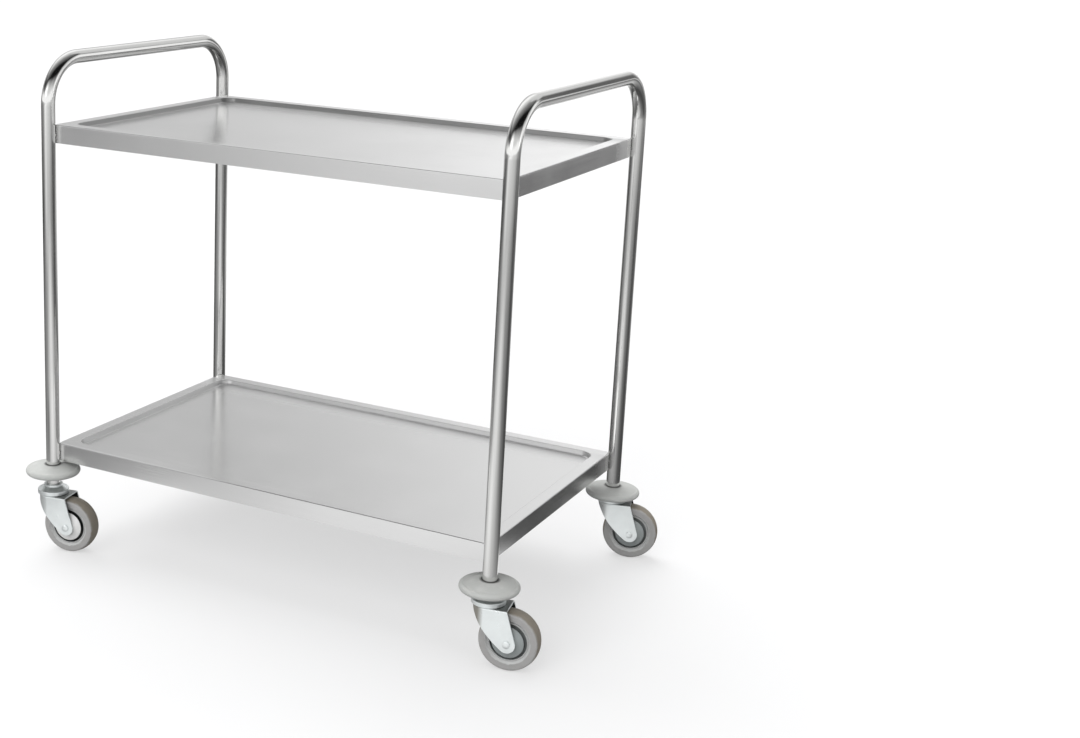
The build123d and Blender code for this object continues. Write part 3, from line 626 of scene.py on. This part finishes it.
def grown(name, tree, values, placements, body):
    """Adds one piece to a body: a tree's mesh, copied to each placement."""
    carrier = bpy.data.objects.new(name, bpy.data.meshes.new(name))
    bpy.context.scene.collection.objects.link(carrier)
    modifier = carrier.modifiers.new("Shape", "NODES")
    modifier.node_group = tree
    for item in tree.interface.items_tree:
        if item.item_type == "SOCKET" and item.in_out == "INPUT":
            modifier[item.identifier] = values[item.name]
    bpy.context.view_layer.update()
    evaluated = carrier.evaluated_get(bpy.context.evaluated_depsgraph_get())
    shape = bpy.data.meshes.new_from_object(evaluated)
    bpy.data.objects.remove(carrier)
    points = []
    faces = []
    for placement in placements:
        start = len(points)
        points += [placement @ vertex.co for vertex in shape.vertices]
        faces += [[start + index for index in face.vertices] for face in shape.polygons]
    joined = bpy.data.meshes.new(name)
    joined.from_pydata(points, [], faces)
    joined.materials.append(values["Material"])
    joined.shade_smooth()
    piece = bpy.data.objects.new(name, joined)
    bpy.context.scene.collection.objects.link(piece)
    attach(piece, body)


# Operators

class TROLLEY_OT_end_frames(bpy.types.Operator):
    """Polishes the two bent tube end frames"""

    bl_idname = "trolley.end_frames"
    bl_label = "End Frames"

    def execute(self, context):
        nodes = ("end_frame_left", "end_frame_right")
        finish(nodes, polished_tube(context.scene.trolley_finishes))
        for node in nodes:
            even_shading(frame["nodes"][node])
        return {"FINISHED"}


class TROLLEY_OT_shelves(bpy.types.Operator):
    """Gives the trays, their channels and their corner brackets a satin grain"""

    bl_idname = "trolley.shelves"
    bl_label = "Shelves"

    def execute(self, context):
        nodes = [f"{shelf}_{piece}" for shelf in SHELVES for piece in ("shelf", "channel", "brackets")]
        finish(nodes, satin_sheet(context.scene.trolley_finishes))
        return {"FINISHED"}


class TROLLEY_OT_fasteners(bpy.types.Operator):
    """Finishes the bolts, nuts, plugs, sleeves and bushes"""

    bl_idname = "trolley.fasteners"
    bl_label = "Fasteners"

    def execute(self, context):
        nodes = [f"{shelf}_{piece}" for shelf in SHELVES for piece in ("bolts", "tube_nuts")]
        nodes += ["post_plugs", "king_bolts", "king_sleeves"]
        nodes += [f"axle_bush_{corner}" for corner in CORNERS]
        finish(nodes, plain_steel(context.scene.trolley_finishes))
        return {"FINISHED"}


class TROLLEY_OT_bumpers(bpy.types.Operator):
    """Gives the bumper rings their soft grey plastic"""

    bl_idname = "trolley.bumpers"
    bl_label = "Bumpers"

    def execute(self, context):
        nodes = [f"bumper_{corner}" for corner in CORNERS]
        finish(nodes, bumper_plastic(context.scene.trolley_finishes))
        return {"FINISHED"}


class TROLLEY_OT_casters(bpy.types.Operator):
    """Plates the swivel heads, forks and axles, and brightens the balls"""

    bl_idname = "trolley.casters"
    bl_label = "Casters"

    def execute(self, context):
        finishes = context.scene.trolley_finishes
        plated = ("swivel_head", "axle_bolt", "axle_nut")
        finish([f"{piece}_{corner}" for piece in plated for corner in CORNERS], zinc_plate(finishes))
        for corner in CORNERS:
            finish([f"fork_{corner}"], zinc_plate(finishes, corner))
        finish([f"bearing_balls_{corner}" for corner in CORNERS], bearing_steel(finishes))
        return {"FINISHED"}


class TROLLEY_OT_wheels(bpy.types.Operator):
    """Finishes the tyres, wheel centres and thread guards"""

    bl_idname = "trolley.wheels"
    bl_label = "Wheels"

    def execute(self, context):
        finishes = context.scene.trolley_finishes
        for corner in CORNERS:
            # Lit and shaded copies: one wheel gets a centre painted dark as shade and thread guards painted
            # pale as light; the others get the shaded guard colour.
            lit_wheel = corner == PAINTED_LIGHT_WHEEL
            hub = finishes.shaded_hub_colour if lit_wheel else finishes.hub_colour
            guard = finishes.lit_guard_colour if lit_wheel else finishes.guard_colour
            tyre = tyre_rubber(finishes, corner)
            centre = moulded_plastic("hub_plastic", hub, finishes.hub_roughness, corner, finishes.lip_colour)
            disc = moulded_plastic("guard_plastic", guard, finishes.guard_roughness, corner)
            finish([f"tyre_{corner}"], tyre)
            finish([f"wheel_hub_{corner}"], centre)
            finish([f"thread_guards_{corner}"], disc)
        return {"FINISHED"}


class TROLLEY_OT_weld_marks(bpy.types.Operator):
    """Adds the spot welds along the channels and the beads on the corner brackets"""

    bl_idname = "trolley.weld_marks"
    bl_label = "Weld Marks"

    def execute(self, context):
        detail = context.scene.trolley_detail
        material = bpy.data.materials["satin_sheet"]
        spots = spot_row_tree()
        beads = bead_tree()
        for shelf in SHELVES:
            self.add_spots(shelf, spots, detail, material)
            self.add_beads(shelf, beads, detail, material)
        return {"FINISHED"}

    def add_spots(self, shelf, tree, detail, material):
        """A row of marks under each flange of a shelf's channel."""
        low, high = (Vector(corner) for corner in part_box(f"{shelf}_channel"))
        count = int((high.x - low.x - detail.spot_diameter * 2) / detail.spot_spacing) + 1
        start = -(count - 1) * detail.spot_spacing / 2
        aside = high.y - detail.spot_inset
        under = high.z - detail.spot_drop
        rows = [Matrix.Translation((start, side * aside, under)) for side in (-1, 1)]
        values = {"Count": count, "Spacing": detail.spot_spacing, "Diameter": detail.spot_diameter,
                  "Height": detail.spot_proud, "Material": material}
        grown(f"{shelf}_spot_welds", tree, values, rows, "frame")

    def add_beads(self, shelf, tree, detail, material):
        """A bead up both ends of each of a shelf's corner brackets."""
        low, high = (Vector(corner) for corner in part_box(f"{shelf}_brackets"))
        count = int((high.z - low.z - detail.bead_width) / detail.bead_step)
        foot = (low.z + high.z - (count - 1) * detail.bead_step) / 2
        sink = detail.bead_width / 4
        run = detail.bracket_run
        ends = ((high.x - run, high.y - sink), (high.x - sink, high.y - run))
        quarters = ((-1, -1), (-1, 1), (1, -1), (1, 1))
        places = [Matrix.Translation((to_x * x, to_y * y, foot)) for to_x, to_y in quarters for x, y in ends]
        values = {"Count": count, "Step": detail.bead_step, "Width": detail.bead_width,
                  "Material": material}
        grown(f"{shelf}_bracket_beads", tree, values, places, "frame")


class TROLLEY_OT_threads(bpy.types.Operator):
    """Adds the threads on the open shanks of the shelf bolts and the ends of the axle bolts"""

    bl_idname = "trolley.threads"
    bl_label = "Threads"

    def execute(self, context):
        detail = context.scene.trolley_detail
        tree = thread_tree()
        for shelf in SHELVES:
            self.add_bolt_threads(shelf, tree, detail)
        for corner in CORNERS:
            self.add_axle_thread(corner, tree, detail)
        return {"FINISHED"}

    def add_bolt_threads(self, shelf, tree, detail):
        """Threads on a shelf's four bolts, which point inwards from the posts at 45 degrees."""
        low, high = (Vector(corner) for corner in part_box(f"{shelf}_bolts"))
        places = []
        for corner in CORNERS:
            post = Vector(JOINTS[f"swivel_{corner}_turn"]["pos_m"])
            inwards = Vector((-post.x / abs(post.x), -post.y / abs(post.y), 0)).normalized()
            start = Vector((post.x, post.y, (low.z + high.z) / 2)) + inwards * detail.bolt_thread_start
            turn = inwards.to_track_quat("Z", "Y").to_matrix().to_4x4()
            places.append(Matrix.Translation(start) @ turn)
        values = {"Radius": detail.bolt_radius, "Pitch": detail.bolt_thread_pitch,
                  "Length": detail.bolt_thread_length, "Steps": detail.thread_steps,
                  "Material": bpy.data.materials["plain_steel"]}
        grown(f"{shelf}_bolt_threads", tree, values, places, "frame")

    def add_axle_thread(self, corner, tree, detail):
        """The thread that shows past a corner's axle nut."""
        spin = JOINTS[f"wheel_{corner}_spin"]
        axis = Vector(spin["axis"])
        start = Vector(spin["pos_m"]) + axis * detail.axle_thread_start
        place = Matrix.Translation(start) @ axis.to_track_quat("Z", "X").to_matrix().to_4x4()
        values = {"Radius": detail.axle_radius, "Pitch": detail.axle_thread_pitch,
                  "Length": detail.axle_thread_length, "Steps": detail.thread_steps,
                  "Material": bpy.data.materials["zinc_plate"]}
        grown(f"axle_thread_{corner}", tree, values, [place], f"swivel_{corner}")


class TROLLEY_OT_stage(bpy.types.Operator):
    """Sets up the floor, the reflection card, the lamps and the camera"""

    bl_idname = "trolley.stage"
    bl_label = "Stage"

    def execute(self, context):
        stage = context.scene.trolley_stage
        lay_floor(stage)
        lay_floor_card(stage)
        light_studio(context.scene, stage)
        place_camera(context.scene, stage)
        context.scene.view_settings.view_transform = "Standard"
        return {"FINISHED"}


# Stage

def square(name, side, height, material):
    """A flat stage square at a height, with its corners in its mesh."""
    mesh = bpy.data.meshes.new(name)
    half = side / 2
    corners = [(x * half, y * half, height) for x, y in ((-1, -1), (1, -1), (1, 1), (-1, 1))]
    mesh.from_pydata(corners, [], [(0, 1, 2, 3)])
    mesh.materials.append(material)
    flat = bpy.data.objects.new(name, mesh)
    bpy.context.scene.collection.objects.link(flat)
    return flat


def aim(compass, height):
    """Unit vector by compass degrees from the front towards the right and degrees above the floor."""
    turn, rise = math.radians(compass), math.radians(height)
    return Vector((math.sin(turn) * math.cos(rise), -math.cos(turn) * math.cos(rise), math.sin(rise)))


def greys(tree, value, stops):
    """Grey by a value between 0 and 1."""
    ramp = add(tree, "ShaderNodeValToRGB", {"Fac": value})
    elements = ramp.color_ramp.elements
    for element, (place, grey) in zip(elements, (stops[0], stops[-1])):
        element.position = place
        element.color = (grey, grey, grey, 1)
    for place, grey in stops[1:-1]:
        elements.new(place).color = (grey, grey, grey, 1)
    return add(tree, "ShaderNodeSeparateColor", {"Color": ramp.outputs["Color"]}).outputs["Red"]


def ring_of_greys(tree, direction, stops):
    """Grey by compass direction: degrees from the front towards the right, and the grey there."""
    inputs = {"Vector": direction}
    turn = add(tree, "ShaderNodeTexGradient", inputs, gradient_type="RADIAL").outputs["Fac"]
    placed = sorted(((degrees + 90) % 360 / 360, grey) for degrees, grey in stops)
    first = placed[0][1]
    return greys(tree, turn, [(0.0, first), *placed, (1.0, first)])


def studio_greys(tree, direction):
    """What polished metal shows by direction; heights are given as sines.

    A light front under a dark ceiling, a soft box behind on the left, a grey wall behind, and a light gap
    low on the right.
    """
    up = along(tree, direction, (0, 0, 1))
    upper_edge = along(tree, direction, Vector((0, 0, 1)) - FRONT_LEAN * aim(FRONT_COMPASS, 0))
    front = remap(tree, upper_edge, (-0.07, 0.35), 1.15, 0.01)
    raised = remap(tree, up, (0.16, 0.30), 0, 1)
    front = times(tree, front, mix_values(tree, raised, 1.0, ring_of_greys(tree, direction, FRONT_GREYS)))
    rear = ring_of_greys(tree, direction, REAR_GREYS)
    rear = times(tree, rear, remap(tree, up, (0.14, 0.42), 1.0, 0.70))
    box = greys(tree, along(tree, direction, aim(*SOFT_BOX_AIM)), SOFT_BOX_GREYS)
    behind = times(tree, mix_values(tree, remap(tree, up, (0.42, 0.56), 0, 1), rear, box), 1.18)
    wall = ring_of_greys(tree, direction, WALL_GREYS)
    wall = times(tree, wall, remap(tree, up, (0.27, 0.36), 0.0, 1.0))
    wall = times(tree, wall, remap(tree, up, (0.80, 0.95), 1.0, 0.3))
    gap = ring_of_greys(tree, direction, GAP_GREYS)
    gap = times(tree, gap, remap(tree, up, (0.20, 0.42), 1.0, 0.0))
    return plus(tree, front, larger(tree, behind, larger(tree, wall, gap)))


def lay_floor(stage):
    """Pale floor that takes the trolley's shadow and meets the white background."""
    material, tree, shader, place = new_material(
        "pale_floor", roughness=0.9, emission_color=(1, 1, 1, 1)
    )
    shader.inputs["Specular IOR Level"].default_value = 0.0
    mottle = noise(tree, place, scale=3.0)
    pale = mix_colours(tree, mottle, stage.floor_colour, toned(stage.floor_colour, 0.985))
    path = add(tree, "ShaderNodeLightPath").outputs
    seen = larger(tree, path["Is Camera Ray"], path["Is Glossy Ray"])
    seen = larger(tree, seen, path["Is Transmission Ray"])
    dress(tree, shader, base_color=pale, emission_strength=times(tree, seen, stage.floor_glow))
    square("floor", stage.floor_size, 0, material)


def spot(tree, place, middle, span, inside, outside):
    """A number that changes over a span of distances from a point on the floor."""
    return remap(tree, vector_number(tree, "DISTANCE", place, (*middle, 0)), span, inside, outside)


def near_floor_glow(tree, place, at):
    """Glow of the reflection card within a few metres, a painted reflection of the floor.

    It is light in front, darkest as painted shade just behind the trolley, and has a painted highlight spot
    before each post.
    """
    ground = greys(tree, remap(tree, at["Y"], (-3.4, 0.6), 0, 1), NEAR_FLOOR_GLOW)
    ground = times(tree, ground, remap(tree, at["X"], (-3.2, -1.6), 0.55, 1.0))
    inputs = {"Vector": place, "Location": (0.35, -1.45, 0), "Rotation": (0, 0, math.radians(30)),
              "Scale": (1.5, 2.0, 1)}
    oval = add(tree, "ShaderNodeMapping", inputs, vector_type="TEXTURE").outputs["Vector"]
    pool = remap(tree, vector_number(tree, "LENGTH", oval), (0.2, 1.0), 0.58, 0.0)
    pool = plus(tree, pool, spot(tree, place, (0.05, -0.72), (0.15, 0.6), inside=0.26, outside=0.0))
    rear = remap(tree, at["Y"], (0.75, 2.4), 0.0, 0.6)
    rear = times(tree, rear, remap(tree, at["X"], (0.6, 2.0), 1.0, 0.12))
    ground = plus(tree, plus(tree, ground, pool), rear)
    # Painted shade: a dark spot on the card in front of the left end
    ground = times(tree, ground, spot(tree, place, (-0.78, -0.90), (0.12, 0.40), inside=0.5, outside=1.0))
    ground = plus(tree, ground, spot(tree, place, (-1.2, -3.9), (0.3, 1.6), inside=0.24, outside=0.0))
    # Painted highlights: light spots on the card just before each post
    before_posts = moved(tree, place, (-0.03, 0.21, 0))
    post_highlights = remap(tree, post_distance(tree, before_posts), (0.10, 0.21), 1.0, 0.0)
    return larger(tree, ground, post_highlights)


def lay_floor_card(stage):
    """Glowing card on the floor that only reflections show, painting the floor's mirrored light and shade,
    with a ring of glow levels past the near floor.
    """
    material = bpy.data.materials.new("floor_card")
    material.use_nodes = True
    tree = material.node_tree
    tree.nodes.remove(tree.nodes["Principled BSDF"])
    place = add(tree, "ShaderNodeTexCoord").outputs["Object"]
    at = axes(tree, place)
    reach = vector_number(tree, "LENGTH", place)
    near = near_floor_glow(tree, place, at)
    far = ring_of_greys(tree, place, FAR_FLOOR_GLOW)
    level = mix_values(tree, remap(tree, reach, (3.6, 7.0), 0, 1), near, far)
    level = times(tree, level, remap(tree, at["X"], (-3.4, -2.6), 0.58, 1.0))
    patch = ring_of_greys(tree, place, FAR_PATCH_GLOW)
    patch = times(tree, patch, remap(tree, reach, (6.0, 7.4), 0.0, 1.0))
    light = add(tree, "ShaderNodeEmission", {"Strength": plus(tree, level, patch)})
    tree.links.new(light.outputs["Emission"], tree.nodes["Material Output"].inputs["Surface"])
    card = square("floor_card", stage.card_size, CARD_LIFT, material)
    card.visible_camera = False
    card.visible_diffuse = False
    card.visible_shadow = False
    card.visible_transmission = False


def lamp(name, power, spread, compass, height):
    """A soft lamp far off, with its spread, compass direction and height in degrees."""
    light = bpy.data.lights.new(name, "SUN")
    light.energy = power
    light.angle = math.radians(spread)
    holder = bpy.data.objects.new(name, light)
    holder.rotation_euler = (math.radians(90 - height), 0, math.radians(compass))
    holder.visible_glossy = False
    bpy.context.scene.collection.objects.link(holder)


def light_studio(scene, stage):
    """Soft lamps, white surroundings, and for reflections the studio's greys."""
    lamp("key_lamp", stage.key_power, spread=50, compass=-8, height=32)
    lamp("fill_lamp", stage.fill_power, spread=60, compass=75, height=32)
    lamp("top_lamp", stage.top_power, spread=50, compass=-125, height=62)
    world = bpy.data.worlds.new("studio")
    world.use_nodes = True
    tree = world.node_tree
    path = add(tree, "ShaderNodeLightPath").outputs
    direction = add(tree, "ShaderNodeTexCoord").outputs["Generated"]
    grey = studio_greys(tree, direction)
    inputs = {"Red": grey, "Green": grey, "Blue": grey}
    mirrored = add(tree, "ShaderNodeCombineColor", inputs).outputs["Color"]
    lit = mix_colours(tree, path["Is Glossy Ray"], [stage.world_light] * 3, mirrored)
    plain = larger(tree, path["Is Camera Ray"], path["Is Transmission Ray"])
    colours = mix_colours(tree, plain, lit, (1, 1, 1))
    tree.links.new(colours, tree.nodes["Background"].inputs["Color"])
    scene.world = world


def place_camera(scene, stage):
    """Camera at the picture's viewing angle."""
    data = bpy.data.cameras.new("camera")
    data.lens = stage.lens
    data.sensor_width = stage.sensor
    data.shift_x, data.shift_y = stage.camera_shift
    holder = bpy.data.objects.new("camera", data)
    holder.location = stage.camera_place
    holder.rotation_euler = Euler(stage.camera_turn)
    scene.collection.objects.link(holder)
    scene.camera = holder


# Panel

class TROLLEY_PT_panel(bpy.types.Panel):
    """Lists the trolley's operators and settings"""

    bl_idname = "TROLLEY_PT_panel"
    bl_label = "Serving Trolley"
    bl_space_type = "VIEW_3D"
    bl_region_type = "UI"
    bl_category = "Trolley"

    def draw(self, context):
        for operator in OPERATORS:
            self.layout.operator(operator.bl_idname)
        for group_name in GROUPS:
            group = getattr(context.scene, group_name)
            for name in group.bl_rna.properties.keys():
                if name not in ("rna_type", "name"):
                    self.layout.prop(group, name)


GROUPS = {
    "trolley_finishes": TrolleyFinishes,
    "trolley_detail": TrolleyDetail,
    "trolley_stage": TrolleyStage,
}
OPERATORS = (
    TROLLEY_OT_end_frames,
    TROLLEY_OT_shelves,
    TROLLEY_OT_fasteners,
    TROLLEY_OT_bumpers,
    TROLLEY_OT_casters,
    TROLLEY_OT_wheels,
    TROLLEY_OT_weld_marks,
    TROLLEY_OT_threads,
    TROLLEY_OT_stage,
)


def register():
    for name, group in GROUPS.items():
        bpy.utils.register_class(group)
        setattr(bpy.types.Scene, name, PointerProperty(type=group))
    for operator in OPERATORS:
        bpy.utils.register_class(operator)
    bpy.utils.register_class(TROLLEY_PT_panel)


def unregister():
    bpy.utils.unregister_class(TROLLEY_PT_panel)
    for operator in reversed(OPERATORS):
        bpy.utils.unregister_class(operator)
    for name, group in GROUPS.items():
        delattr(bpy.types.Scene, name)
        bpy.utils.unregister_class(group)


def main():
    register()
    for operator in OPERATORS:
        family, name = operator.bl_idname.split(".")
        getattr(getattr(bpy.ops, family), name)()


if __name__ == "__main__":
    main()
